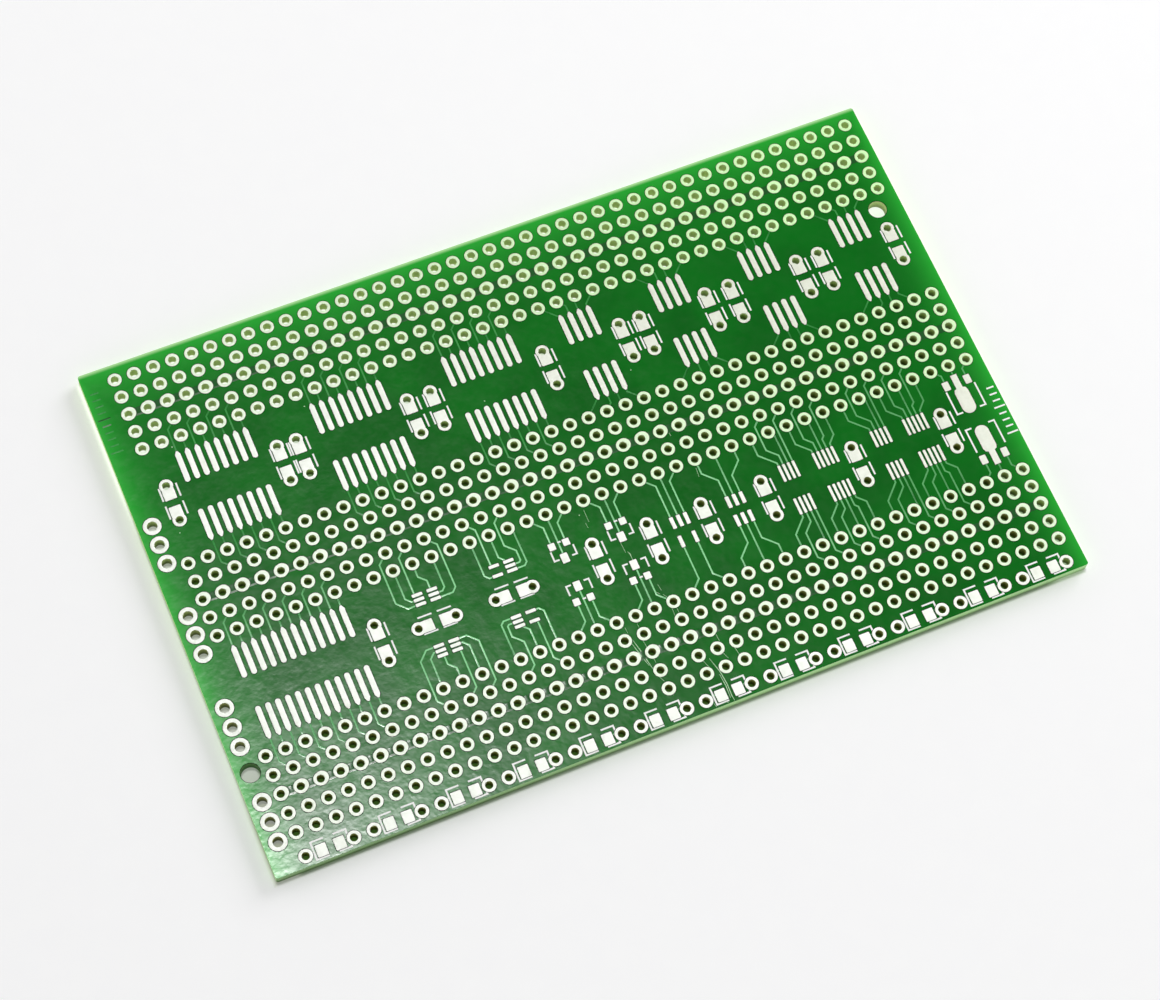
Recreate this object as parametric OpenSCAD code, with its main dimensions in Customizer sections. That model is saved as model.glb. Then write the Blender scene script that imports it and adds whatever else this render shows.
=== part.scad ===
// Bare prototyping board: a single sheet of glass laminate with three fields of plain holes,
// two bands of surface-mount footprints whose tracks run out to the nearest holes,
// a row of chip footprints along the front edge and four groups of larger wire holes.
// Top face up; the origin is the middle of the underside.

/* [Board] */
// Distance from hole to hole in the grid, both ways
pitch = 2.54; // [2.4:0.01:3.1]
// Thickness of the bare laminate sheet
laminate_t = 1.54; // [0.8:0.01:2.4]
// Left edge to the middle of the first column
margin_left = 4.2; // [3.9:0.1:10]
// Right edge to the middle of the last column
margin_right = 2; // [1.5:0.1:10]
// Back edge to the middle of the first row
margin_back = 2.1; // [1.5:0.1:10]
// Front edge to the middle of the last row
margin_front = 4.5; // [4.3:0.1:12]
// Radius of the board's corners
corner_r = 0.3; // [0.1:0.1:1.5]

/* [Holes and rings] */
// Diameter of a grid hole
hole_d = 1.0; // [0.6:0.05:1.3]
// Diameter of the ring of foil round a grid hole
ring_d = 1.76; // [1.5:0.02:2.1]
// Diameter of a wire hole
wire_hole_d = 1.3; // [0.9:0.05:1.7]
// Diameter of the ring round a wire hole
wire_ring_d = 2.3; // [2:0.05:2.4]
// Distance from wire hole to wire hole in a group of three
wire_pitch = 2.64; // [2.6:0.01:3.2]
// Wire holes' line to the first column
wire_line = 2.41; // [2.3:0.01:2.6]
// Diameter of the two mounting holes
mount_hole_d = 2.4; // [2:0.1:2.9]
// How far the second lobe of a bus pad sits to the right of its hole
bus_lobe = 0.17; // [0:0.01:0.3]

/* [Layers] */
// Thickness of the copper foil
foil_t = 0.035; // [0.018:0.001:0.07]
// Thickness of the tin on the bare pads
tin_t = 0.03; // [0.005:0.001:0.06]
// Thickness of the solder mask over the laminate
mask_t = 0.06; // [0.05:0.005:0.12]
// Gap between a pad and the edge of its mask opening
mask_gap = 0.08; // [0.04:0.01:0.1]
// Thickness of the legend ink
legend_t = 0.02; // [0.01:0.005:0.04]
// Width of a legend line
legend_w = 0.22; // [0.12:0.01:0.26]
// Width of a track
track_w = 0.2; // [0.12:0.01:0.26]
// Width of the track that joins a bus row
bus_track_w = 1.15; // [0.6:0.01:1.4]

/* [Small outline footprints] */
// Width of a pad
so_pad_w = 0.7; // [0.4:0.01:0.85]
// Length of a pad, with its pointed end
so_pad_l = 4.4; // [3:0.1:4.6]
// Middle of the band to the near end of a pad
so_inner = 1.98; // [1:0.01:2.1]

/* [Chip footprints] */
// Middle of a chip footprint to the middle of its hole
chip_hole = 2.44; // [2.2:0.01:2.9]
// Gap between a chip footprint's two pads
chip_gap = 0.95; // [0.6:0.01:1.2]
// Width of a chip pad
chip_pad_w = 1.55; // [1.2:0.01:1.6]
// Distance from one front chip footprint to the next, in pitches
front_chip_step = 3.4; // [3.3:0.05:3.6]
// Distance between the two holes of a front chip footprint, in pitches
front_chip_span = 2.4; // [2.4:0.01:2.5]
// Width of a front chip pad, from end to end of the footprint
front_pad_w = 1.36; // [1:0.01:1.4]

/* [Fine pitch footprints] */
// Lead pitch of the shrunk outline packages
fine_pitch = 0.65; // [0.6:0.01:0.7]
// Lead pitch of the transistor packages
transistor_pitch = 0.95; // [0.9:0.01:1]
// Lead pitch of the tab packages
tab_pitch = 1.5; // [1.4:0.01:1.6]

/* [Hidden] */
$fn = 48;
FIELDS = 3;
FIELD_ROWS = 5;
COLUMNS = 41;
BAND = 6.5;
LAST_ROW = FIELDS * FIELD_ROWS - 1;
BUS_ROWS = [for (f = [0:FIELDS - 1]) f * FIELD_ROWS + 2];
PLAIN_ROWS = [for (r = [0:LAST_ROW]) if (r % FIELD_ROWS != 2) r];
SO16_STARTS = [1.5, 8.5, 15.5];
SO8_MIDDLES = [22.61, 27.53, 32.5, 37.65];
SC70_COLUMN = 10;
SC70_FIVE_COLUMN = 14;
SOT23_COLUMNS = [17, 20];
SOT23_FIVE_COLUMN = 23;
SOT23_SIX_COLUMN = 26;
// Middle column, first hole's column and pad count of each shrunk outline footprint
MSOPS = [[29.1, 28, 4], [31.1, 30, 5], [34.16, 33, 4], [36.08, 35, 5]];
SOT89_COLUMN = 39;
BACK_CHIPS = [0.4, 6.14, 7.14, 13, 14.23, 20.27, 24.44, 25.57, 29.19, 30.5, 34.29, 35.53, 39.48];
MIDDLE_CHIPS = [7.13, 18.5, 21.41, 24.31, 27.56, 32.52, 37.46];
FLAT_CHIPS = [SC70_COLUMN, SC70_FIVE_COLUMN];
FRONT_CHIPS = 12;
WIRE_GROUPS = 4;
// The legend was printed a little to the right of and behind its true place
LEGEND_SHIFT = [0.12, 0.2];

board_w = margin_left + (COLUMNS - 1) * pitch + margin_right;
board_d = margin_back + (LAST_ROW + (FIELDS - 1) * (BAND - 1)) * pitch + margin_front;
mask_z = laminate_t;
legend_z = mask_z + mask_t;
// A cut or layer runs this far past what it cuts
over = 1;

function two(n) = str(n < 10 ? "0" : "", n);
function numbered(name, n) = [for (i = [1:n]) str(name, i)];

// ---- Places on the board ----

function col_x(c) = -board_w / 2 + margin_left + c * pitch;
function row_y(r) = board_d / 2 - margin_back - (r + floor(r / FIELD_ROWS) * (BAND - 1)) * pitch;
function hole_at(c, r) = [col_x(c), row_y(r)];
// The band between two fields: 0 is the back one, 1 the front one
function band_y(b) = (row_y(b * FIELD_ROWS + 4) + row_y(b * FIELD_ROWS + 5)) / 2;
// The nearest and the next row of holes, on the band's back side (s = 1) or front side (s = -1)
function near_row(b, s) = b * FIELD_ROWS + (s > 0 ? 4 : 5);
function next_row(b, s) = b * FIELD_ROWS + (s > 0 ? 3 : 6);
// A place given from a column and the middle of a band, turned half round on the front side
function from_band(c, b, s, v) = [col_x(c) + s * v.x, band_y(b) + s * v.y];

// First row to the first wire hole, and from one group of three to the next, in pitches
wire_start = 8.05;
wire_step = 5;
function wire_x() = col_x(0) - wire_line;
function wire_hole(g, i) = [wire_x(), row_y(0) - (wire_start + wire_step * g) * pitch - i * wire_pitch];
WIRE_HOLES = [for (g = [0:WIRE_GROUPS - 1]) for (i = [0:2]) wire_hole(g, i)];
// How far the left mounting hole sits behind the middle between two groups
mount_lift = 0.2;
// The right mounting hole lies in line with the last back chip, this far in front of its row of holes
mount_drop = 2.82;
MOUNT_HOLES = [
    [wire_x(), (wire_hole(2, 2).y + wire_hole(3, 0).y) / 2 + mount_lift],
    [col_x(BACK_CHIPS[len(BACK_CHIPS) - 1]), row_y(4) - mount_drop]
];

// ---- Tracks ----

function unit(v) = v / norm(v);
function left_of(v) = [-v.y, v.x];

// Outline of a strip of width w along points, mitred at its bends
function strip(points, w) =
    let (n = len(points) - 1)
    let (runs = [for (i = [0:n - 1]) unit(points[i + 1] - points[i])])
    let (mitres = [for (i = [0:n]) left_of(runs[max(i - 1, 0)]) + left_of(runs[min(i, n - 1)])])
    let (sides = [for (m = mitres) m * w / (m * m)])
    concat(
        [for (i = [0:n]) points[i] + sides[i]],
        [for (i = [n:-1:0]) points[i] - sides[i]]
    );

// Up or down from p, across at 45 degrees after the lead, then on to q
function dogleg(p, q, lead) =
    let (s = sign(q.y - p.y))
    let (d = abs(q.x - p.x))
    d < 0.01 ? [p, q] : [p, [p.x, p.y + s * lead], [q.x, p.y + s * (lead + d)], q];

// Up or down from p, then at 45 degrees into the hole at q, or straight on where that is close
function fan(p, q, close) =
    let (s = sign(q.y - p.y))
    let (d = abs(q.x - p.x))
    d < close ? [p, [p.x, q.y]] : [p, [p.x, q.y - s * d], q];

// Sideways from p, cut across a corner of size d, then up or down to q
function elbow(p, q, d) = [
    p,
    [q.x - sign(q.x - p.x) * d, p.y],
    [q.x, p.y + sign(q.y - p.y) * d],
    q
];

// Where a track in the lane at x has to turn, at 45 degrees, to meet the hole h beside it
function turn(x, h, s) = [x, h.y - s * abs(h.x - x)];

// ---- Nets: [pads, track, hole], where a pad is [form, middle, size, side] and a track may be empty ----

FINGER = "finger";
BLOCK = "block";
TAB = "tab";

// A track this near the line of its hole runs straight into its ring
fan_close = 0.1;
so_close = 0.45;

// Small outline pad on column c: whole columns reach the near row, half columns pass it
function so_net(b, s, c, x) =
    let (p = [x, band_y(b) + s * (so_inner + so_pad_l / 2)])
    let (pad = [FINGER, p, [so_pad_w, so_pad_l], s])
    let (near = hole_at(c, near_row(b, s)))
    let (next = hole_at(c + 0.5, next_row(b, s)))
    c == floor(c) ? [[pad], fan(p, near, so_close), near] : [[pad], [p, turn(x, next, s), next], next];

function so_nets(b, start, n) =
    [for (s = [1, -1]) for (i = [0:n - 1]) so_net(b, s, start + i / 2, col_x(start + i / 2))];

// Eight pads that fan out to whole columns
function so8_nets(middle) =
    [for (s = [1, -1]) for (i = [0:3]) so_net(0, s, floor(middle) - 1 + i, col_x(middle + (i - 1.5) / 2))];

sc70_row = 3.57;
sc70_side = 0.97;
// Cuts across the corners of the tracks, from the tightest to the widest
cut_s = 0.4;
cut_m = 0.56;
cut_l = 0.64;
cut_xl = 1.16;
SC70_PAD = [1.34, 0.42];
// Pad on the left (-1) or right (1), in the outer (1), middle (0) or inner (-1) row
function sc70_pad(c, s, side, row) =
    [BLOCK, from_band(c, 1, s, [side * sc70_side, sc70_row + row * fine_pitch]), SC70_PAD, s];

// From a start up or down the lane between two columns, then into the next row's hole in column c
function lane_net(pad, start, lane, c, s) =
    let (h = hole_at(c, next_row(1, s)))
    [[pad], concat(start, [turn(col_x(lane), h, s), h]), h];

// Joins a pad to such a lane with an elbow of size d
function elbow_lane_net(pad, lane, c, s, d) =
    let (h = hole_at(c, next_row(1, s)))
    [[pad], concat(elbow(pad[1], turn(col_x(lane), h, s), d), [h]), h];

function sc70_near(c, s) = hole_at(c, near_row(1, s));

// How far an outer pad's track leaves from its middle, and how far it runs before it turns
sc70_shift = 0.12;
sc70_lead = 1.3;
function sc70_nets(s) =
    let (c = SC70_COLUMN)
    let (outer_l = sc70_pad(c, s, -1, 1))
    let (outer_r = sc70_pad(c, s, 1, 1))
    let (middle_l = sc70_pad(c, s, -1, 0))
    let (middle_r = sc70_pad(c, s, 1, 0))
    let (near = sc70_near(c, s))
    let (near_l = sc70_near(c - s, s))
    let (near_r = sc70_near(c + s, s))
    [
        lane_net(outer_l, [[col_x(c - s / 2), outer_l[1].y]], c - s / 2, c, s),
        [[outer_r], dogleg(outer_r[1] - [s * sc70_shift, 0], near, sc70_lead), near],
        [[middle_l], elbow(middle_l[1], near_l, cut_l), near_l],
        [[middle_r], elbow(middle_r[1], near_r, s > 0 ? cut_s : cut_l), near_r],
        elbow_lane_net(sc70_pad(c, s, -1, -1), c - s * 1.5, c - s, s, cut_xl),
        elbow_lane_net(sc70_pad(c, s, 1, -1), c + s * 1.5, c + s, s, s > 0 ? cut_m : cut_xl)
    ];

five_shift = 0.31;
five_lead = 0.2;
five_ring_shift = 0.51;
five_cut = 0.5;
// The middle pad's track loops round the inner pad: this far out, then this far along
loop_out = 1.43;
loop_along = 1.58;
loop_cut = 0.2;
function sc70_five_nets(s) =
    let (c = SC70_FIVE_COLUMN)
    let (outer_l = sc70_pad(c, s, -1, 1))
    let (outer_r = sc70_pad(c, s, 1, 1))
    let (middle_r = sc70_pad(c, s, 1, 0))
    let (inner_l = sc70_pad(c, s, -1, -1))
    let (inner_r = sc70_pad(c, s, 1, -1))
    let (near = sc70_near(c, s))
    let (near_l = sc70_near(c - s, s))
    let (near_r = sc70_near(c + s, s))
    let (loop = middle_r[1] + [s * loop_out, 0])
    let (lane_x = col_x(c + s / 2))
    [
        lane_net(outer_l, [[col_x(c - s / 2), outer_l[1].y]], c - s / 2, c - s, s),
        [[outer_r], dogleg(outer_r[1] - [s * five_shift, 0], near, five_lead), near],
        [[inner_l], elbow(inner_l[1], near_l, five_cut), near_l],
        [[inner_r], elbow(inner_r[1], near_r + [s * five_ring_shift, 0], cut_s), near_r],
        lane_net(middle_r, [
            middle_r[1],
            loop - [s * loop_cut, 0],
            loop + [0, s * loop_cut],
            [loop.x, loop.y + s * loop_along],
            [lane_x, loop.y + s * (loop_along + abs(loop.x - lane_x))]
        ], c + s / 2, c + s, s)
    ];

sot23_row = 2.96;
sot23_reach = 0.96;
SOT23_BASE_PAD = [0.88, 0.95];
SOT23_TOP_PAD = [0.95, 1.3];
// Two base pads out, one pad in, and a hole for each
function sot23_nets(c, s) =
    let (row = near_row(1, s))
    let (single = from_band(c, 1, s, [0, sot23_row - sot23_reach]))
    concat(
        [for (side = [-1, 1])
            let (p = from_band(c, 1, s, [side * transistor_pitch, sot23_row + sot23_reach]))
            let (h = hole_at(c + s * side, row))
            [[[BLOCK, p, SOT23_BASE_PAD, s]], fan(p, h, fan_close), h]],
        [[[[BLOCK, single, SOT23_TOP_PAD, s]], [single, hole_at(c, row)], hole_at(c, row)]]
    );

line_row = 1.33;
LINE_PAD = [0.5, 1.6];
// How far the tracks of the six-lead footprint run before they spread
six_lead = 3.2;
// Three pads in line, or the outer two, whose tracks spread after the lead
function line_nets(c, s, sides, lead) = [
    for (side = sides)
        let (p = from_band(c, 1, s, [side * transistor_pitch, line_row]))
        let (h = hole_at(c + s * side, near_row(1, s)))
        [[[BLOCK, p, LINE_PAD, s]], lead > 0 ? dogleg(p, h, lead) : fan(p, h, fan_close), h]
];

function sot23_five_nets() =
    concat(line_nets(SOT23_FIVE_COLUMN, 1, [-1, 0, 1], 0), line_nets(SOT23_FIVE_COLUMN, -1, [-1, 1], 0));
function sot23_six_nets() =
    [for (s = [1, -1]) for (n = line_nets(SOT23_SIX_COLUMN, s, [-1, 0, 1], six_lead)) n];

MSOP_PAD = [0.36, 2.3];
msop_row = 2.4;
// A pad this near its hole's line, or its lane, has a straight track
msop_near = 0.75;
msop_near_lane = 0.15;
// The first track's straight run past its pad, and how much longer each next one is
msop_lead = 0.4;
msop_lead_step = 0.9;
// Fine pads whose tracks turn one after another, the outermost first
function msop_nets(spec) = [
    for (s = [1, -1])
        for (i = [0:spec[2] - 1])
            let (n = spec[2])
            let (c = spec[1] + i / 2)
            let (whole = c == floor(c))
            let (x = col_x(spec[0]) + (i - (n - 1) / 2) * fine_pitch)
            let (p = [x, band_y(1) + s * msop_row])
            let (h = hole_at(ceil(c), whole ? near_row(1, s) : next_row(1, s)))
            let (near = abs(col_x(c) - x) < (whole ? msop_near : msop_near_lane))
            let (lane = near ? x : col_x(c))
            let (rank = col_x(c) < x ? i : n - 1 - i)
            let (lead = MSOP_PAD.y / 2 + msop_lead + msop_lead_step * rank)
            let (q = whole ? [lane, h.y] : turn(lane, h, s))
            [[[BLOCK, p, MSOP_PAD, s]], concat(dogleg(p, q, lead), whole ? [] : [h]), h]
];

// The front footprint sits this much nearer the middle of the band than the back one
tab_offset = 0.42;
function tab_shift(s) = s > 0 ? 0 : tab_offset;
TAB_SIZE = [1.85, 5.65];
tab_inner = 1.2;
stem_w = 0.86;
stem_l = 1.95;
tab_base_row = 5.68;
TAB_BASE_PAD = [0.88, 1.24];
function sot89_nets(s) =
    let (c = SOT89_COLUMN)
    let (row = near_row(1, s))
    let (middle = from_band(c, 1, s, [0, tab_inner + TAB_SIZE.y / 2 - tab_shift(s)]))
    concat(
        [for (side = [-1, 1])
            let (p = from_band(c, 1, s, [side * tab_pitch, tab_base_row - tab_shift(s)]))
            let (h = hole_at(c + s * side, row))
            [[[BLOCK, p, TAB_BASE_PAD, s]], fan(p, h, fan_close), h]],
        [[[[TAB, middle, TAB_SIZE, s]], [middle, hole_at(c, row)], hole_at(c, row)]]
    );

// The pads run on under their rings
chip_pad_l = chip_hole - ring_d / 4 - chip_gap / 2;
// A chip footprint across the band, or along it where it is flat
function chip_nets(c, b, flat) = [
    for (s = [1, -1])
        let (out = flat ? [s, 0] : [0, s])
        let (p = [col_x(c), band_y(b)] + out * (chip_gap + chip_pad_l) / 2)
        let (h = [col_x(c), band_y(b)] + out * chip_hole)
        [[[BLOCK, p, flat ? [chip_pad_l, chip_pad_w] : [chip_pad_w, chip_pad_l], s]], [], h]
];

// Last row to the front chips, in pitches
front_chip_row = 1.25;
front_chip_y = row_y(LAST_ROW) - front_chip_row * pitch;
front_pad_l = 1.56;
front_pad_gap = 0.94;
front_pad_shift = 0.12;
front_neck = 0.3;
function front_chip_x(i) = col_x(i * front_chip_step) + front_chip_span * pitch / 2;
function front_chip_nets(i) = [
    for (s = [-1, 1])
        let (x = front_chip_x(i))
        let (p = [x + front_pad_shift + s * (front_pad_gap + front_pad_w) / 2, front_chip_y])
        let (h = [x + s * front_chip_span * pitch / 2, front_chip_y])
        let (up = [0, front_neck])
        [[[BLOCK, p, [front_pad_w, front_pad_l], s]], [p + up, h + up], h]
];

function all_of(lists) = [for (list = lists) for (item = list) item];

SO16_NETS = [for (c = SO16_STARTS) so_nets(0, c, 8)];
SO8_NETS = [for (m = SO8_MIDDLES) so8_nets(m)];
SO24_NETS = so_nets(1, 0.5, 12);
SOT23_NETS = [for (s = [1, -1]) for (c = SOT23_COLUMNS) sot23_nets(c, s)];
MSOP_NETS = [for (m = MSOPS) msop_nets(m)];
BACK_CHIP_NETS = all_of([for (c = BACK_CHIPS) chip_nets(c, 0, false)]);
MIDDLE_CHIP_NETS = all_of([for (c = MIDDLE_CHIPS) chip_nets(c, 1, false)]);
FLAT_CHIP_NETS = all_of([for (c = FLAT_CHIPS) chip_nets(c, 1, true)]);
FRONT_CHIP_NETS = all_of([for (i = [0:FRONT_CHIPS - 1]) front_chip_nets(i)]);

// Nets that reach a hole of the grid
GRID_NETS = concat(
    all_of(SO16_NETS),
    all_of(SO8_NETS),
    SO24_NETS,
    sc70_nets(1),
    sc70_nets(-1),
    sc70_five_nets(1),
    sc70_five_nets(-1),
    all_of(SOT23_NETS),
    sot23_five_nets(),
    sot23_six_nets(),
    all_of(MSOP_NETS),
    sot89_nets(1),
    sot89_nets(-1)
);
// Nets with a hole of their own
CHIP_NETS = concat(BACK_CHIP_NETS, MIDDLE_CHIP_NETS, FLAT_CHIP_NETS, FRONT_CHIP_NETS);

GRID_HOLES = [for (r = [0:LAST_ROW]) for (c = [0:COLUMNS - 1]) hole_at(c, r)];
CHIP_HOLES = [for (n = CHIP_NETS) n[2]];
function wired(c, r) = len([for (n = GRID_NETS) if (norm(n[2] - hole_at(c, r)) < 0.01) 1]) > 0;

// ---- Shapes of the layers ----

module discs(points, d) {
    for (p = points)
        translate(p)
            circle(d = d);
}

// Length of a finger's point, and size of a block's clipped corners
finger_point = 0.45;
block_clip = 0.07;

// Round near end, pointed far end, along +Y
module finger(size) {
    polygon([
        [-size.x / 2, (size.x - size.y) / 2],
        [size.x / 2, (size.x - size.y) / 2],
        [size.x / 2, size.y / 2 - finger_point],
        [track_w / 2, size.y / 2],
        [-track_w / 2, size.y / 2],
        [-size.x / 2, size.y / 2 - finger_point]
    ]);
    translate([0, (size.x - size.y) / 2])
        circle(d = size.x);
}

// Oblong with clipped corners
module block(size) {
    x = size.x / 2;
    y = size.y / 2;
    polygon([
        [block_clip - x, -y], [x - block_clip, -y], [x, block_clip - y], [x, y - block_clip],
        [x - block_clip, y], [block_clip - x, y], [-x, y - block_clip], [-x, block_clip - y]
    ]);
}

// The tab's shoulder slopes from this far below its stem, and flattens this near the stem's foot
shoulder_slope = 0.55;
shoulder_flat = 0.15;
// Bottle outline along +Y: a round-ended body under a narrow stem
module tab(size, grow) {
    x = size.x / 2;
    y = size.y / 2;
    neck = stem_w / 2 + grow;
    shoulder = y - stem_l - grow;
    polygon([
        [-x, x - y], [x, x - y], [x, shoulder - shoulder_slope],
        [x - shoulder_flat, shoulder - shoulder_flat],
        [neck, shoulder], [neck, y], [-neck, y], [-neck, shoulder],
        [shoulder_flat - x, shoulder - shoulder_flat], [-x, shoulder - shoulder_slope]
    ]);
    translate([0, x - y])
        circle(r = x);
}

module pad(p, grow) {
    size = p[2] + 2 * [grow, grow];
    translate(p[1])
        mirror([0, p[3] > 0 ? 0 : 1]) {
            if (p[0] == FINGER)
                finger(size);
            if (p[0] == BLOCK)
                block(size);
            if (p[0] == TAB)
                tab(size, grow);
        }
}

module pads_and_rings(nets, grow = 0) {
    for (n = nets)
        for (p = n[0])
            pad(p, grow);
    discs([for (n = nets) n[2]], ring_d + 2 * grow);
}

module tracks(nets) {
    for (n = nets)
        if (len(n[1]) > 0)
            polygon(strip(n[1], track_w));
}

// A bus pad: a ring with a second lobe to its right, smaller by this much
lobe_less = 0.06;
module bus_pads(r, grow = 0) {
    discs([for (c = [0:COLUMNS - 1]) hole_at(c, r)], ring_d + 2 * grow);
    discs([for (c = [0:COLUMNS - 1]) hole_at(c, r) + [bus_lobe, bus_lobe / 2]], ring_d - lobe_less + 2 * grow);
}

// The broad track that joins a bus row
module bus_track(r) {
    y = row_y(r);
    polygon(strip([[col_x(0), y], [col_x(COLUMNS - 1), y]], bus_track_w));
}

module outline() {
    x = board_w / 2;
    y = board_d / 2;
    square([board_w, board_d - 2 * corner_r], center = true);
    square([board_w - 2 * corner_r, board_d], center = true);
    discs([for (i = [-1, 1]) for (j = [-1, 1]) [i * (x - corner_r), j * (y - corner_r)]], 2 * corner_r);
}

// Bars of the two scales, each with its place and length
scale_step = 0.95;
foil_bars = 10;
foil_bar = 1.1;
foil_bar_long = 1.6;
foil_start = [-0.6, -0.9];
ink_bars = 8;
ink_bar = 1.0;
ink_bar_long = 1.5;
ink_start = [-1, 3.3];
FOIL_SCALE = [for (i = [0:foil_bars - 1])
    [wire_x() + foil_start.x, row_y(0) + foil_start.y - i * scale_step, i % 5 == 4 ? foil_bar_long : foil_bar]];
INK_SCALE = [for (i = [0:ink_bars - 1])
    [board_w / 2 + ink_start.x, band_y(1) + ink_start.y - i * scale_step, i % 4 == 3 ? ink_bar_long : ink_bar]];
module scale_bars(bars, w) {
    for (b = bars)
        translate([b[0], b[1]])
            square([b[2], w], center = true);
}

// Everything that the mask leaves bare
module openings() {
    pads_and_rings(concat(GRID_NETS, CHIP_NETS), mask_gap);
    for (r = PLAIN_ROWS)
        discs([for (c = [0:COLUMNS - 1]) if (!wired(c, r)) hole_at(c, r)], ring_d + 2 * mask_gap);
    for (r = BUS_ROWS)
        bus_pads(r, mask_gap);
    discs(WIRE_HOLES, wire_ring_d + 2 * mask_gap);
    discs(MOUNT_HOLES, mount_hole_d + 2 * mask_gap);
}

// ---- Sub-parts ----

module laminate() {
    color("darkkhaki")
        linear_extrude(laminate_t)
            difference() {
                outline();
                discs(GRID_HOLES, hole_d);
                discs(CHIP_HOLES, hole_d);
                discs(WIRE_HOLES, wire_hole_d);
                discs(MOUNT_HOLES, mount_hole_d);
            }
}

// The mask fills the space between the tracks and covers them
module solder_mask() {
    color("forestgreen")
        translate([0, 0, mask_z])
            difference() {
                linear_extrude(mask_t)
                    difference() {
                        outline();
                        openings();
                    }
                translate([0, 0, -over])
                    linear_extrude(over + foil_t) {
                        tracks(concat(GRID_NETS, FRONT_CHIP_NETS));
                        for (r = BUS_ROWS)
                            bus_track(r);
                        scale_bars(FOIL_SCALE, track_w);
                    }
            }
}

module foil_layer(t) {
    color("silver")
        translate([0, 0, laminate_t])
            linear_extrude(t)
                children();
}

// Foil with its bare pads tinned: one solid to each net
module nets(list) {
    holes = [for (n = list) n[2]];
    foil_layer(foil_t)
        difference() {
            union() {
                pads_and_rings(list);
                tracks(list);
            }
            discs(holes, hole_d);
        }
    translate([0, 0, foil_t])
        foil_layer(tin_t)
            difference() {
                pads_and_rings(list);
                discs(holes, hole_d);
            }
}

module pad_row(r) {
    free = [for (c = [0:COLUMNS - 1]) if (!wired(c, r)) hole_at(c, r)];
    foil_layer(foil_t + tin_t)
        difference() {
            discs(free, ring_d);
            discs(free, hole_d);
        }
}

module bus_row(r) {
    holes = [for (c = [0:COLUMNS - 1]) hole_at(c, r)];
    foil_layer(foil_t)
        difference() {
            union() {
                bus_pads(r);
                bus_track(r);
            }
            discs(holes, hole_d);
        }
    translate([0, 0, foil_t])
        foil_layer(tin_t)
            difference() {
                bus_pads(r);
                discs(holes, hole_d);
            }
}

module wire_pads(g) {
    holes = [for (i = [0:2]) wire_hole(g, i)];
    foil_layer(foil_t + tin_t)
        difference() {
            discs(holes, wire_ring_d);
            discs(holes, wire_hole_d);
        }
}

// Marks under the mask near the left edge
module foil_scale() {
    foil_layer(foil_t)
        scale_bars(FOIL_SCALE, track_w);
}

// Ink lies on the mask only, so the openings clip it
module ink(near_nets) {
    color("white")
        translate([0, 0, legend_z])
            linear_extrude(legend_t)
                difference() {
                    translate(LEGEND_SHIFT)
                        children();
                    pads_and_rings(near_nets, mask_gap);
                }
}

bar_l = 1.85;
bar_gap = 0.7;
bar_side = 1.13;
// Four bars beside a chip footprint
module chip_bars(c, b, flat) {
    for (i = [-1, 1])
        for (j = [-1, 1])
            translate([col_x(c), band_y(b)])
                rotate(flat ? 90 : 0)
                    translate([i * bar_side, j * (bar_gap + bar_l) / 2])
                        square([legend_w, bar_l], center = true);
}

// A square bracket open to +X, with its back on the Y axis
module bracket(w, l, top, bottom) {
    translate([0, l / 2])
        square([legend_w, l + legend_w], center = true);
    if (top)
        translate([w / 2, l])
            square([w, legend_w], center = true);
    if (bottom)
        translate([w / 2, 0])
            square([w, legend_w], center = true);
}

// Gap between a front chip's pad and the back of its bracket
front_bracket_gap = 0.39;
front_bracket_half = front_pad_gap / 2 + front_pad_w + front_bracket_gap;
front_bracket_l = 2.28;
front_bracket_w = 1.6;
module front_brackets(i) {
    for (side = [0, 1])
        translate([front_chip_x(i) + front_pad_shift, front_chip_y - front_bracket_l / 2])
            mirror([side, 0])
                translate([-front_bracket_half, 0])
                    bracket(front_bracket_w, front_bracket_l, true, true);
}

module legend_chips_back() {
    ink(BACK_CHIP_NETS)
        for (c = BACK_CHIPS)
            chip_bars(c, 0, false);
}

module legend_chips_middle() {
    ink(MIDDLE_CHIP_NETS)
        for (c = MIDDLE_CHIPS)
            chip_bars(c, 1, false);
}

module legend_chips_flat() {
    ink(FLAT_CHIP_NETS)
        for (c = FLAT_CHIPS)
            chip_bars(c, 1, true);
}

module legend_chips_front() {
    ink(FRONT_CHIP_NETS)
        for (i = [0:FRONT_CHIPS - 1])
            front_brackets(i);
}

SOT23_BODY = [1.5, 1.8];
SOT23_MARK = [0.65, 1.2];
sot23_dash = 0.44;
// Two corner marks at the body's near corners and a dash between the base pads
module legend_sot23() {
    ink(all_of(SOT23_NETS))
        for (s = [1, -1])
            for (c = SOT23_COLUMNS)
                translate([col_x(c), band_y(1)])
                    rotate(s > 0 ? 0 : 180) {
                        for (side = [0, 1])
                            mirror([side, 0])
                                translate([-SOT23_BODY.x, SOT23_BODY.y])
                                    bracket(SOT23_MARK.x, SOT23_MARK.y, false, true);
                        translate([0, sot23_row + sot23_reach + 0.1])
                            square([sot23_dash, legend_w], center = true);
                    }
}

SOT89_BODY = [2, 1.4];
SOT89_MARK = [0.8, 3.2];
module legend_sot89() {
    ink(concat(sot89_nets(1), sot89_nets(-1)))
        for (s = [1, -1])
            translate([col_x(SOT89_COLUMN), band_y(1) - s * tab_shift(s)])
                rotate(s > 0 ? 0 : 180)
                    for (side = [0, 1])
                        mirror([side, 0])
                            translate([-SOT89_BODY.x, SOT89_BODY.y])
                                bracket(SOT89_MARK.x, SOT89_MARK.y, false, true);
}

// A plain scale near the right edge
module legend_scale() {
    ink([])
        scale_bars(INK_SCALE, legend_w);
}

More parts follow.
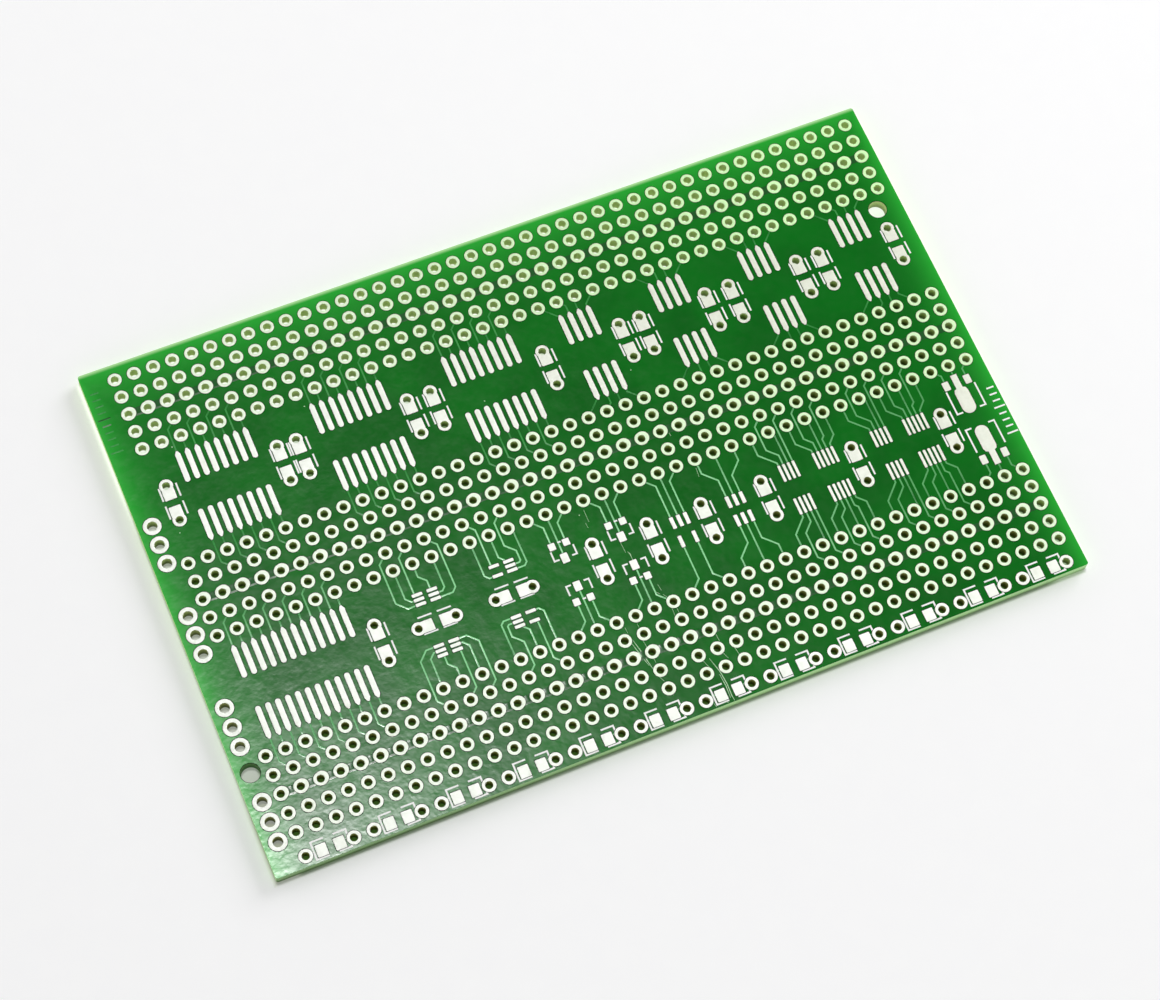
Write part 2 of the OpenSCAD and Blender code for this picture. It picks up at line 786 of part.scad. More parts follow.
laminate();
solder_mask();
for (r = PLAIN_ROWS)
    pad_row(r);
for (r = BUS_ROWS)
    bus_row(r);
for (g = [0:WIRE_GROUPS - 1])
    wire_pads(g);
for (i = [0:len(SO16_NETS) - 1])
    nets(SO16_NETS[i]);
for (i = [0:len(SO8_NETS) - 1])
    nets(SO8_NETS[i]);
nets(SO24_NETS);  // so24_fanout
nets(sc70_nets(1));  // sc70_fanout_back
nets(sc70_nets(-1));  // sc70_fanout_front
nets(sc70_five_nets(1));  // sc70_five_fanout_back
nets(sc70_five_nets(-1));  // sc70_five_fanout_front
for (i = [0:len(SOT23_NETS) - 1])
    nets(SOT23_NETS[i]);
nets(sot23_five_nets());  // sot23_five_fanout
nets(sot23_six_nets());  // sot23_six_fanout
for (i = [0:len(MSOP_NETS) - 1])
    nets(MSOP_NETS[i]);
nets(sot89_nets(1));  // sot89_fanout_back
nets(sot89_nets(-1));  // sot89_fanout_front
nets(BACK_CHIP_NETS);  // chip_pads_back
nets(MIDDLE_CHIP_NETS);  // chip_pads_middle
nets(FLAT_CHIP_NETS);  // chip_pads_flat
nets(FRONT_CHIP_NETS);  // chip_pads_front
legend_chips_back();
legend_chips_middle();
legend_chips_flat();
legend_chips_front();
legend_sot23();
legend_sot89();
legend_scale();
foil_scale();
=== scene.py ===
"""Looks of a bare prototyping board: lacquer, tinned pads, laminate, legend ink, scuffs and a small studio.

Laid out as an add-on: each kind of piece has its operator, and the sizes and colours sit in property groups.
"""

import math

import bmesh
import bpy
from mathutils import Matrix, Vector


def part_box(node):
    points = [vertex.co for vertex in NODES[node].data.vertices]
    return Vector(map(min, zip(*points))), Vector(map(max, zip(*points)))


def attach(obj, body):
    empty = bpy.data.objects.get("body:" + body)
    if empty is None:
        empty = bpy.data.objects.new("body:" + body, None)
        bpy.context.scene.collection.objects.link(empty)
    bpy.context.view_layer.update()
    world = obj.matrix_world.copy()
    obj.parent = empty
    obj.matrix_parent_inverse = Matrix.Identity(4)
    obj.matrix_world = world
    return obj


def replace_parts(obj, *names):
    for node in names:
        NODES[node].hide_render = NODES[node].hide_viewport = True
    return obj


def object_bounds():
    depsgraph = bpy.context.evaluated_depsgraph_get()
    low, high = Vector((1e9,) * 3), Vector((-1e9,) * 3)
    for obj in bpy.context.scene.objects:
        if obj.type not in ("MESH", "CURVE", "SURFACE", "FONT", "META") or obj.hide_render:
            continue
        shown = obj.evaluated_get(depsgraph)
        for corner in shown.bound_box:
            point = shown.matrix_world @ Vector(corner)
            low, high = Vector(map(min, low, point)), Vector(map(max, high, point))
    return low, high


bl_info = {
    "name": "Bare circuit board",
    "version": (1, 0, 0),
    "blender": (4, 5, 0),
    "location": "3D View > Sidebar > Board",
    "description": "Finishes a bare prototyping board and sets a studio round it",
    "category": "Object",
}

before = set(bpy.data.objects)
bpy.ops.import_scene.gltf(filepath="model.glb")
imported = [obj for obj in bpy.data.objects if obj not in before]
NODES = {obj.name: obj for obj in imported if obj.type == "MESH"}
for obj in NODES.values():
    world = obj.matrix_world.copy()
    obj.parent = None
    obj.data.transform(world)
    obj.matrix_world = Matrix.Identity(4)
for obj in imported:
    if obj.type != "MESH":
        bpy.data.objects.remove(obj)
CAD_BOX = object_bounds()

MM = 0.001
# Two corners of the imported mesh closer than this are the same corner
MERGE = 2e-7
# A face's height is read to this, and it is level if its normal's Z is over the second number
LEVEL = 2e-6
LEVEL_NORMAL = 0.99

HALF_W = CAD_BOX[1].x
HALF_D = CAD_BOX[1].y
LAMINATE_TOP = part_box("laminate")[1].z
FOIL_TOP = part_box("foil_scale")[1].z
LACQUER_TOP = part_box("solder_mask")[1].z
PAD_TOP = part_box("pad_row_01")[1].z

FOIL_NODES = sorted(
    n
    for n in NODES
    if n not in ("laminate", "solder_mask", "foil_scale") and not n.startswith("legend")
)
INK_NODES = sorted(n for n in NODES if n.startswith("legend"))

# Settings that many nodes share: a range eased at both ends, and a mix of two colours
EASED = {"interpolation_type": "SMOOTHSTEP"}
TINTS = {"data_type": "RGBA"}
WHITE = (1.0, 1.0, 1.0, 1.0)

# Scratches in the lacquer, as lines of places in millimetres
SCRATCHES = [
    [(0.66, -10.86), (0.74, -12.27)],
    [(1.01, -12.26), (1.17, -12.67), (1.15, -13.46)],
    [(2.72, -17.62), (2.85, -18.51)],
    [(2.09, -18.38), (2.51, -18.89)],
    [(2.81, -19.03), (3.36, -19.98)],
    [(3.12, -21.01), (3.07, -22.16)],
    [(3.68, -21.35), (3.69, -21.96)],
    [(-3.29, -21.31), (-3.23, -22.12)],
    [(-3.05, -23.15), (-2.72, -24.6), (-2.46, -26.22), (-2.19, -27.8)],
    [(-3.32, -23.54), (-2.92, -25.32), (-2.48, -26.99)],
    [(-1.7, -21.43), (-1.66, -21.96)],
    [(-1.91, -23.72), (-1.78, -24.71)],
    [(-1.6, -26.34), (-1.56, -26.94)],
    [(-2.17, -28.23), (-1.56, -29.51)],
    [(6.75, -26.29), (6.8, -27.25)],
    [(8.21, -28.78), (8.36, -29.8)],
    [(6.58, -28.84), (6.9, -29.66)],
    [(3.85, -28.82), (4.25, -29.85)],
    [(4.7, -28.83), (5.24, -30.87), (5.39, -32.7), (5.32, -34.27), (5.4, -34.95)],
    [(5.05, -31.17), (5.16, -32.83), (5.07, -34.45)],
    [(2.82, -34.16), (3.0, -34.9)],
    [(4.33, -34.57), (4.56, -34.95)],
    [(-1.87, -5.08), (-1.88, -6.79)],
    [(-2.33, -6.79), (-2.29, -7.5)],
    [(13.48, -5.03), (13.34, -6.3)],
    [(12.26, 0.63), (12.33, 0.15)],
]
# Specks of dust caught in the lacquer, as places in millimetres
SPECKS = [
    (-46.2, 21.65),
    (-49.25, 10.45),
    (-7.65, 13.25),
    (-28.95, 20.85),
    (11.25, 10.45),
    (-2.65, -5.55),
]

# The camera's place in metres, its axes, its lens and sensor in millimetres, and how near and far it sees
CAMERA_PLACE = (-0.07722, -0.13164, 0.34583)
CAMERA_RIGHT = (0.91891, -0.39043, 0.05630)
CAMERA_UP = (0.33925, 0.85503, 0.39222)
CAMERA_BACK = (-0.20127, -0.34132, 0.91815)
CAMERA_LENS = 93.51
CAMERA_SENSOR = 36
CAMERA_CLIP = (0.01, 10)

# The back and front edges of each field of rings in metres, and how strong the painted green reflection in
# its tin is.
# The painted reflection fades out over the margin beyond them
RING_FIELDS = [(0.0340, 0.0218, 0.8), (0.0073, -0.0049, 0.55), (-0.0194, -0.0316, 0.35)]
RING_MARGIN = 0.0004
# The rings' left end, in metres
RINGS_FROM = -0.0508
# The Y of the mounting hole at the left end in metres, and a little more than its radius
LEFT_HOLE_Y = -0.0217
LEFT_HOLE_REACH = 1.5 * MM

# Each bus row's Y in metres, and how strong the painted glint on its front edge is at its left end
BUS_SHINE = [(0.02787, 0.2), (0.0012, 0.5), (-0.02547, 1.0)]
# Half the width of the dark band over a bus track. Its painted glint lies this far in front of the middle, is
# this wide to each side, and fades to about a third over this length from the left end
BUS_HALF = 0.6 * MM
GLINT_AHEAD = 0.5 * MM
GLINT_HALF = 0.1 * MM
BUS_FADE = 20 * MM

# Plies of glass in the laminate
PLIES = 8
# Threads of the glass cloth, drawn farther apart than the real 0.5 mm so that they show
THREAD_PITCH = 0.9 * MM
# How far light gets into the sheet from its ends
LIGHT_REACH = 2.1 * MM
# How far in from the right end light through the sheet begins to show in the holes, and where it is full
RIGHT_LIGHT = (6 * MM, 3.5 * MM)
# How far in from the left end the board begins to shade the floor, and where it is full
LEFT_SHADE = (2.5 * MM, 3.5 * MM)
# How far the painted shadow and green light on the floor show past the board
GREEN_REACH = 0.35 * MM
# What is left of the glow under the board for rays that don't come from the eye, a mirror or glass
UNSEEN_GLOW = 0.65
# How far away, in metres, the floor's glow begins to rise, and where it is full
GLOW_RANGE = (0.1, 1.2)

# How deep a scratch's burr stands in the lacquer
BURR_FOOT = 0.004 * MM
# Edges sharper than this stay sharp
SHARP_EDGE = math.radians(30)

# Places and widths of the square lamps in metres. The lacquer mirrors the top lamp just outside the board's
# front left corner
KEY_LAMP = ((0.75, 0.35, 0.42), 0.5)
TOP_LAMP = ((0.1085, 0.559, 3.0), 0.3)

# Half the floor's width, and how far it lies under the board
FLOOR_HALF = 1.5
FLOOR_GAP = 0.0001


def linear(code):
    """An sRGB hex colour as linear red, green, blue and alpha."""
    parts = [int(code[i : i + 2], 16) / 255 for i in (0, 2, 4)]
    return tuple(
        c / 12.92 if c <= 0.04045 else ((c + 0.055) / 1.055) ** 2.4 for c in parts
    ) + (1.0,)


# ---- Nodes ----


def add(tree, kind, inputs=(), **settings):
    """Adds one shader node with its settings, its kind without "ShaderNode".

    An input is a value, another node's output, or another node, whose first live output is linked to it.
    """
    node = tree.nodes.new("ShaderNode" + kind)
    for name, value in settings.items():
        setattr(node, name, value)
    for socket, value in dict(inputs).items():
        if isinstance(value, bpy.types.Node):
            value = next(o for o in value.outputs if o.enabled)
        if isinstance(value, bpy.types.NodeSocket):
            tree.links.new(value, node.inputs[socket])
        else:
            node.inputs[socket].default_value = value
    return node


def material_tree(name):
    """A new material with no nodes yet, and its tree."""
    material = bpy.data.materials.new(name)
    material.use_nodes = True
    material.node_tree.nodes.clear()
    return material, material.node_tree


def edge_distance(tree, xyz):
    """How far a place is inside the board's outline, in metres."""
    x = add(tree, "Math", {0: xyz[0]}, operation="ABSOLUTE")
    side = add(tree, "Math", {0: HALF_W, 1: x}, operation="SUBTRACT")
    y = add(tree, "Math", {0: xyz[1]}, operation="ABSOLUTE")
    end = add(tree, "Math", {0: HALF_D, 1: y}, operation="SUBTRACT")
    return add(tree, "Math", {0: side, 1: end}, operation="MINIMUM")


def light_from_right(tree, xyz, most):
    """Up to most at holes near the right end, where light comes through the sheet, and 0 away from it."""
    first, full = (HALF_W - inset for inset in RIGHT_LIGHT)
    return add(tree, "MapRange", {0: xyz[0], 1: first, 2: full, 4: most}, **EASED)


def finish(tree, **sockets):
    """Principled surface to the output. A socket's name has underscores for its spaces."""
    inputs = {name.replace("_", " "): value for name, value in sockets.items()}
    shader = add(tree, "BsdfPrincipled", inputs)
    add(tree, "OutputMaterial", {"Surface": shader})


# ---- Materials ----


def over_laminate(tree, place, xyz, colours):
    """Colour of the lacquer over bare laminate, lit near the sawn sides."""
    # Pools of the wet lacquer, about 9 mm across
    pools = add(tree, "TexNoise", {"Vector": place, "Scale": 1 / (9 * MM)})
    pools = add(tree, "MapRange", {0: pools, 1: 0.35, 2: 0.65}, **EASED)
    base = add(tree, "Mix", {0: pools, 6: colours.lacquer, 7: colours.lacquer_deep}, **TINTS)
    # Light that enters the sheet at its ends fades over LIGHT_REACH, and over twice that from the back
    end = add(tree, "Math", {0: xyz[0]}, operation="ABSOLUTE")
    end = add(tree, "Math", {0: HALF_W, 1: end}, operation="SUBTRACT")
    back = add(tree, "Math", {0: HALF_D, 1: xyz[1]}, operation="SUBTRACT")
    back = add(tree, "Math", {0: back, 1: 0.5}, operation="MULTIPLY")
    glow = add(tree, "Math", {0: end, 1: back}, operation="MINIMUM")
    glow = add(tree, "Math", {0: glow, 1: -1 / LIGHT_REACH}, operation="MULTIPLY")
    glow = add(tree, "Math", {0: glow}, operation="EXPONENT")
    base = add(tree, "Mix", {0: glow, 6: base, 7: colours.lacquer_lit}, **TINTS)
    # Painted highlight on the lacquer's rim where it meets the sawn back
    thin = add(tree, "MapRange", {0: xyz[1], 1: HALF_D - 0.6 * MM, 2: HALF_D, 4: 0.8}, **EASED)
    return add(tree, "Mix", {0: thin, 6: base, 7: colours.cut_edge}, **TINTS)


def over_tracks(tree, xyz, flow, colours):
    """Colour of the lacquer over the foil, with a painted sheen that is palest on the front band's tracks."""
    thick = add(tree, "MapRange", {0: flow, 1: 0.2, 2: 0.9}, **EASED)
    base = add(tree, "Mix", {0: thick, 6: colours.lacquer_foil, 7: colours.lacquer_foil_deep}, **TINTS)
    # Painted sheen, rising from the middle field towards the front, most in the middle of the board's width
    ahead = add(tree, "MapRange", {0: xyz[1], 1: 7 * MM, 2: -3 * MM}, **EASED)
    left = add(tree, "MapRange", {0: xyz[0], 1: -42 * MM, 2: -18 * MM, 3: 0.3, 4: 0.85}, **EASED)
    right = add(tree, "MapRange", {0: xyz[0], 1: 10 * MM, 2: 40 * MM, 3: 1.0, 4: 0.3}, **EASED)
    middle = add(tree, "Math", {0: left, 1: right}, operation="MULTIPLY")
    thin = add(tree, "Math", {0: ahead, 1: middle}, operation="MULTIPLY")
    base = add(tree, "Mix", {0: thin, 6: base, 7: colours.lacquer_foil_sheen}, **TINTS)
    # The bus rows' broad tracks are dark, with a painted glint along their front edges, most at the left end
    left = add(tree, "Math", {0: xyz[0], 1: HALF_W}, operation="ADD")
    left = add(tree, "Math", {0: left, 1: -1 / BUS_FADE}, operation="MULTIPLY")
    left = add(tree, "Math", {0: left}, operation="EXPONENT")
    for row_y, shine in BUS_SHINE:
        off = add(tree, "Math", {0: xyz[1], 1: row_y}, operation="SUBTRACT")
        broad = add(tree, "Math", {0: off}, operation="ABSOLUTE")
        # The band's edge is soft over 0.05 mm
        broad = {0: broad, 1: BUS_HALF, 2: BUS_HALF + 0.05 * MM, 3: 1.0, 4: 0.0}
        broad = add(tree, "MapRange", broad, **EASED)
        base = add(tree, "Mix", {0: broad, 6: base, 7: colours.lacquer_bus}, **TINTS)
        glint = add(tree, "Math", {0: off, 1: GLINT_AHEAD}, operation="ADD")
        glint = add(tree, "Math", {0: glint}, operation="ABSOLUTE")
        glint = add(tree, "MapRange", {0: glint, 1: GLINT_HALF, 2: 2 * GLINT_HALF, 3: shine, 4: 0.0}, **EASED)
        glint = add(tree, "Math", {0: glint, 1: left}, operation="MULTIPLY")
        base = add(tree, "Mix", {0: glint, 6: base, 7: colours.lacquer_glint}, **TINTS)
    return base


def solder_mask(name, colours, over_foil=False):
    """Liquid solder mask: epoxy lacquer flooded through a screen and cured.

    It is glossy with a faint orange peel, pools in soft patches, and glows near the sawn sides, where light
    comes through the sheet.
    """
    material, t = material_tree(name)
    place = add(t, "TexCoord").outputs["Object"]
    xyz = add(t, "SeparateXYZ", {0: place}).outputs
    # Flow marks about 1 mm across
    flow = add(t, "TexNoise", {"Vector": place, "Scale": 1 / (1 * MM), "Detail": 3.0})
    if over_foil:
        base = over_tracks(t, xyz, flow, colours)
    else:
        base = over_laminate(t, place, xyz, colours)
    # Orange peel about 0.5 mm across and swells about 2 mm across
    peel = add(t, "TexNoise", {"Vector": place, "Scale": 1 / (0.5 * MM)})
    peel = add(t, "Math", {0: peel, 1: 0.25}, operation="MULTIPLY")
    swell = add(t, "TexNoise", {"Vector": place, "Scale": 1 / (2.2 * MM)})
    height = add(t, "Math", {0: peel, 1: swell}, operation="ADD")
    relief = add(t, "Bump", {"Strength": 0.8, "Distance": 0.03 * MM, "Height": height})
    rough = add(t, "MapRange", {0: flow, 1: 0.3, 2: 0.7, 3: 0.165, 4: 0.2}, **EASED)
    finish(t, Base_Color=base, Roughness=rough, Specular_IOR_Level=0.38, Normal=relief)
    return material


def sawn_side(tree, place, xyz, ahead, grain, colours):
    """Colour of the sawn sides, where the plies of glass show in the resin."""
    # The plies wave a little with the weave
    wave = add(tree, "TexNoise", {"Vector": place, "Scale": 1 / (0.6 * MM)})
    wave = add(tree, "Math", {0: wave, 1: 0.8}, operation="MULTIPLY")
    ply = add(tree, "Math", {0: xyz[2], 1: LAMINATE_TOP / PLIES}, operation="DIVIDE")
    ply = add(tree, "Math", {0: ply, 1: wave}, operation="ADD")
    ply = add(tree, "Math", {0: ply, 1: 0.5}, operation="PINGPONG")
    ply = add(tree, "MapRange", {0: ply, 1: 0.1, 2: 0.4}, **EASED)
    sawn = add(tree, "Mix", {0: ply, 6: colours.cut_glass, 7: colours.cut_edge}, **TINTS)
    glassy = add(tree, "MapRange", {0: grain, 1: 0.4, 2: 0.75, 4: 0.5}, **EASED)
    sawn = add(tree, "Mix", {0: glassy, 6: sawn, 7: colours.cut_glass}, **TINTS)
    # The cut ends are yellower towards the back, and the back side less so
    yellow = add(tree, "MapRange", {0: xyz[1], 1: -30 * MM, 2: 20 * MM, 4: 0.6}, **EASED)
    end = add(tree, "MapRange", {0: ahead, 1: 0.4, 2: 0.6, 3: 1.0, 4: 0.2}, **EASED)
    yellow = add(tree, "Math", {0: yellow, 1: end}, operation="MULTIPLY")
    sawn = add(tree, "Mix", {0: yellow, 6: sawn, 7: colours.cut_back}, **TINTS)
    # The front side is darker towards its left end, and has painted shade at its foot where it nears the
    # table
    front = add(tree, "MapRange", {0: ahead, 1: -0.6, 2: -0.4, 3: 1.0, 4: 0.0}, **EASED)
    dull = add(tree, "MapRange", {0: xyz[0], 1: -45 * MM, 2: 15 * MM, 3: 0.6, 4: 0.0}, **EASED)
    foot = add(tree, "MapRange", {0: xyz[2], 1: -0.1 * MM, 2: 1.1 * MM, 3: 0.6, 4: 0.0}, **EASED)
    shade = add(tree, "Math", {0: dull, 1: foot}, operation="ADD")
    shade = add(tree, "Math", {0: front, 1: shade}, operation="MULTIPLY")
    return add(tree, "Mix", {0: shade, 6: sawn, 7: colours.cut_dark}, **TINTS)


def drilled_wall(tree, xyz, grain, colours):
    """Colour of the drilled walls, paler where light through the sheet reaches them."""
    pale = add(tree, "MapRange", {0: xyz[1], 1: -20 * MM, 2: 16 * MM}, **EASED)
    lit = light_from_right(tree, xyz, 0.8)
    pale = add(tree, "Math", {0: pale, 1: lit}, operation="MAXIMUM")
    drilled = add(tree, "Mix", {0: pale, 6: colours.bore_dark, 7: colours.bore_light}, **TINTS)
    burnt = add(tree, "MapRange", {0: grain, 1: 0.3, 2: 0.8, 4: 0.45}, **EASED)
    drilled = add(tree, "Mix", {0: burnt, 6: drilled, 7: colours.bore_dark}, **TINTS)
    # Painted shade further down the holes, but little in the back field
    deep = add(tree, "MapRange", {0: xyz[2], 1: 0.1 * MM, 2: 1.3 * MM, 3: 0.7, 4: 0.0}, **EASED)
    front = add(tree, "MapRange", {0: xyz[1], 1: 10 * MM, 2: 36 * MM, 3: 1.0, 4: 0.1}, **EASED)
    deep = add(tree, "Math", {0: deep, 1: front}, operation="MULTIPLY")
    drilled = add(tree, "Mix", {0: deep, 6: drilled, 7: colours.bore_shade}, **TINTS)
    # Lacquer has run down the wall of the mounting hole at the left end
    run = {0: xyz[0], 1: RINGS_FROM - 0.1 * MM, 2: RINGS_FROM, 3: 0.8, 4: 0.0}
    run = add(tree, "MapRange", run, **EASED)
    near = add(tree, "Math", {0: xyz[1], 1: LEFT_HOLE_Y}, operation="SUBTRACT")
    near = add(tree, "Math", {0: near}, operation="ABSOLUTE")
    near = add(tree, "Math", {0: near, 1: LEFT_HOLE_REACH}, operation="LESS_THAN")
    run = add(tree, "Math", {0: run, 1: near}, operation="MULTIPLY")
    return add(tree, "Mix", {0: run, 6: drilled, 7: colours.lacquer_foil_deep}, **TINTS)


def glass_epoxy(name, colours):
    """Glass-epoxy laminate: woven glass in clear yellowish resin, sawn at the sides and drilled.

    The sawn sides are pale and show the plies, drilled walls are burnished olive, and light through the sheet
    makes those near the back and the right end paler. The underside shows the weave.
    """
    material, t = material_tree(name)
    place = add(t, "TexCoord").outputs["Object"]
    xyz = add(t, "SeparateXYZ", {0: place}).outputs
    facing = add(t, "NewGeometry").outputs["Normal"]
    _, ahead, up = add(t, "SeparateXYZ", {0: facing}).outputs
    grain = add(t, "TexNoise", {"Vector": place, "Scale": 1 / (0.15 * MM), "Detail": 3.0})
    sawn = sawn_side(t, place, xyz, ahead, grain, colours)
    drilled = drilled_wall(t, xyz, grain, colours)
    inside = edge_distance(t, xyz)
    inside = add(t, "MapRange", {0: inside, 1: 0.02 * MM, 2: 0.3 * MM}, **EASED)
    wall = add(t, "Mix", {0: inside, 6: sawn, 7: drilled}, **TINTS)
    # Glass cloth in the underside, with cloudy patches about 7 mm across
    warp = add(t, "Math", {0: xyz[0], 1: THREAD_PITCH}, operation="DIVIDE")
    warp = add(t, "Math", {0: warp, 1: 0.5}, operation="PINGPONG")
    weft = add(t, "Math", {0: xyz[1], 1: THREAD_PITCH}, operation="DIVIDE")
    weft = add(t, "Math", {0: weft, 1: 0.5}, operation="PINGPONG")
    cloth = add(t, "Math", {0: warp, 1: weft}, operation="MULTIPLY")
    thread = add(t, "MapRange", {0: cloth, 1: 0.02, 2: 0.16}, **EASED)
    below = add(t, "Mix", {0: thread, 6: colours.underside, 7: colours.underside_thread}, **TINTS)
    cloud = add(t, "TexNoise", {"Vector": place, "Scale": 1 / (7 * MM)})
    cloud = add(t, "MapRange", {0: cloud, 1: 0.3, 2: 0.8, 4: 0.35}, **EASED)
    below = add(t, "Mix", {0: cloud, 6: below, 7: colours.cut_glass}, **TINTS)
    # A face that looks up lies in a gap between a pad and the lacquer, and is painted dark as shade
    upwards = add(t, "MapRange", {0: up, 1: -0.5, 2: 0.5}, **EASED)
    level = add(t, "Mix", {0: upwards, 6: below, 7: colours.gap_shade}, **TINTS)
    flat = add(t, "Math", {0: up}, operation="ABSOLUTE")
    flat = add(t, "MapRange", {0: flat, 1: 0.4, 2: 0.6}, **EASED)
    base = add(t, "Mix", {0: flat, 6: wall, 7: level}, **TINTS)
    height = add(t, "Math", {0: grain, 1: 0.3}, operation="MULTIPLY")
    height = add(t, "Math", {0: cloth, 1: height}, operation="ADD")
    relief = add(t, "Bump", {"Strength": 0.5, "Distance": 0.02 * MM, "Height": height})
    rough = add(t, "MapRange", {0: grain, 1: 0.2, 2: 0.8, 3: 0.5, 4: 0.68}, **EASED)
    finish(t, Base_Color=base, Roughness=rough, Specular_IOR_Level=0.2, Normal=relief)
    return material


def levelled_tin(name, colours):
    """Tin levelled with hot air over copper: bright near-white metal with a satin grain, dull in spots."""
    material, t = material_tree(name)
    place = add(t, "TexCoord").outputs["Object"]
    xyz = add(t, "SeparateXYZ", {0: place}).outputs
    # Painted sheen: brightest at the front left, and dimmer towards the back right
    across = add(t, "Math", {0: xyz[1], 1: 1.25}, operation="MULTIPLY")
    across = add(t, "Math", {0: xyz[0], 1: across}, operation="ADD")
    across = add(t, "MapRange", {0: across, 1: -25 * MM, 2: 55 * MM}, **EASED)
    base = add(t, "Mix", {0: across, 6: colours.tin, 7: colours.tin_dim}, **TINTS)
    # Dull patches about 2 mm across
    dull = add(t, "TexNoise", {"Vector": place, "Scale": 1 / (2 * MM)})
    dull = add(t, "MapRange", {0: dull, 1: 0.5, 2: 0.8, 4: 0.3}, **EASED)
    base = add(t, "Mix", {0: dull, 6: base, 7: colours.tin_dull}, **TINTS)
    # Painted green reflection of the lacquer in the rings' tin, most in the back field; the wire pads have
    # none
    ringed = add(t, "MapRange", {0: xyz[0], 1: RINGS_FROM - RING_MARGIN, 2: RINGS_FROM}, **EASED)
    right = add(t, "MapRange", {0: xyz[0], 1: RINGS_FROM, 2: HALF_W, 3: 0.25}, **EASED)
    ringed = add(t, "Math", {0: ringed, 1: right}, operation="MULTIPLY")
    for back, front, cast in RING_FIELDS:
        behind = add(t, "MapRange", {0: xyz[1], 1: front - RING_MARGIN, 2: front, 4: cast}, **EASED)
        before = add(t, "MapRange", {0: xyz[1], 1: back, 2: back + RING_MARGIN, 3: 1.0, 4: 0.0}, **EASED)
        field = add(t, "Math", {0: behind, 1: before}, operation="MULTIPLY")
        field = add(t, "Math", {0: field, 1: ringed}, operation="MULTIPLY")
        base = add(t, "Mix", {0: field, 6: base, 7: colours.tin_green_reflection}, **TINTS)
    # Painted shade darkens the foil in the gap between a pad and the lacquer
    gap = add(t, "MapRange", {0: xyz[2], 1: FOIL_TOP, 2: PAD_TOP, 3: 0.9, 4: 0.0}, **EASED)
    base = add(t, "Mix", {0: gap, 6: base, 7: colours.gap_shade}, **TINTS)
    # Grains of the frozen tin, about 0.3 mm across
    grain = add(t, "TexNoise", {"Vector": place, "Scale": 1 / (0.3 * MM), "Detail": 3.0})
    relief = add(t, "Bump", {"Strength": 0.4, "Distance": 0.006 * MM, "Height": grain})
    rough = add(t, "MapRange", {0: grain, 1: 0.3, 2: 0.7, 3: 0.6, 4: 0.7}, **EASED)
    finish(t, Base_Color=base, Metallic=1.0, Roughness=rough, Normal=relief)
    return material


def bare_copper(name, colours):
    """Rolled copper foil, lightly brushed before the lacquer went on."""
    material, t = material_tree(name)
    place = add(t, "TexCoord").outputs["Object"]
    # Brush marks along the board's width, 0.05 mm apart
    along = add(t, "Mapping", {"Vector": place, "Scale": (0.1, 1.0, 1.0)})
    marks = add(t, "TexNoise", {"Vector": along, "Scale": 1 / (0.05 * MM), "Detail": 3.0})
    base = add(t, "Mix", {0: marks, 6: colours.copper, 7: colours.copper_dark}, **TINTS)
    relief = add(t, "Bump", {"Strength": 0.4, "Distance": 0.004 * MM, "Height": marks})
    rough = add(t, "MapRange", {0: marks, 1: 0.2, 2: 0.8, 3: 0.3, 4: 0.45}, **EASED)
    finish(t, Base_Color=base, Metallic=1.0, Roughness=rough, Normal=relief)
    return material


def epoxy_ink(name, colours):
    """Screen-printed epoxy ink: opaque white, matt, with a slightly mottled film."""
    material, t = material_tree(name)
    place = add(t, "TexCoord").outputs["Object"]
    # The film is thinner in patches about 0.8 mm across
    film = add(t, "TexNoise", {"Vector": place, "Scale": 1 / (0.8 * MM)})
    film = add(t, "MapRange", {0: film, 1: 0.45, 2: 0.8, 4: 0.6}, **EASED)
    base = add(t, "Mix", {0: film, 6: colours.ink, 7: colours.ink_thin}, **TINTS)
    # Marks of the screen's mesh, about 0.12 mm apart
    mesh = add(t, "TexNoise", {"Vector": place, "Scale": 1 / (0.12 * MM)})
    relief = add(t, "Bump", {"Strength": 0.5, "Distance": 0.006 * MM, "Height": mesh})
    rough = add(t, "MapRange", {0: mesh, 1: 0.3, 2: 0.7, 3: 0.5, 4: 0.65}, **EASED)
    finish(t, Base_Color=base, Roughness=rough, Specular_IOR_Level=0.3, Normal=relief)
    return material


def scuffed_lacquer(name, colours):
    """Lacquer whitened where something hard dragged over it: a rough, pale burr."""
    material, t = material_tree(name)
    place = add(t, "TexCoord").outputs["Object"]
    # Crumbs of the burr, about 0.1 mm across
    crumbs = add(t, "TexNoise", {"Vector": place, "Scale": 1 / (0.1 * MM), "Detail": 3.0})
    hollow = add(t, "MapRange", {0: crumbs, 1: 0.35, 2: 0.7}, **EASED)
    base = add(t, "Mix", {0: hollow, 6: colours.scuff, 7: colours.scuff_dark}, **TINTS)
    relief = add(t, "Bump", {"Strength": 0.6, "Distance": 0.01 * MM, "Height": crumbs})
    finish(t, Base_Color=base, Roughness=0.6, Specular_IOR_Level=0.3, Normal=relief)
    return material


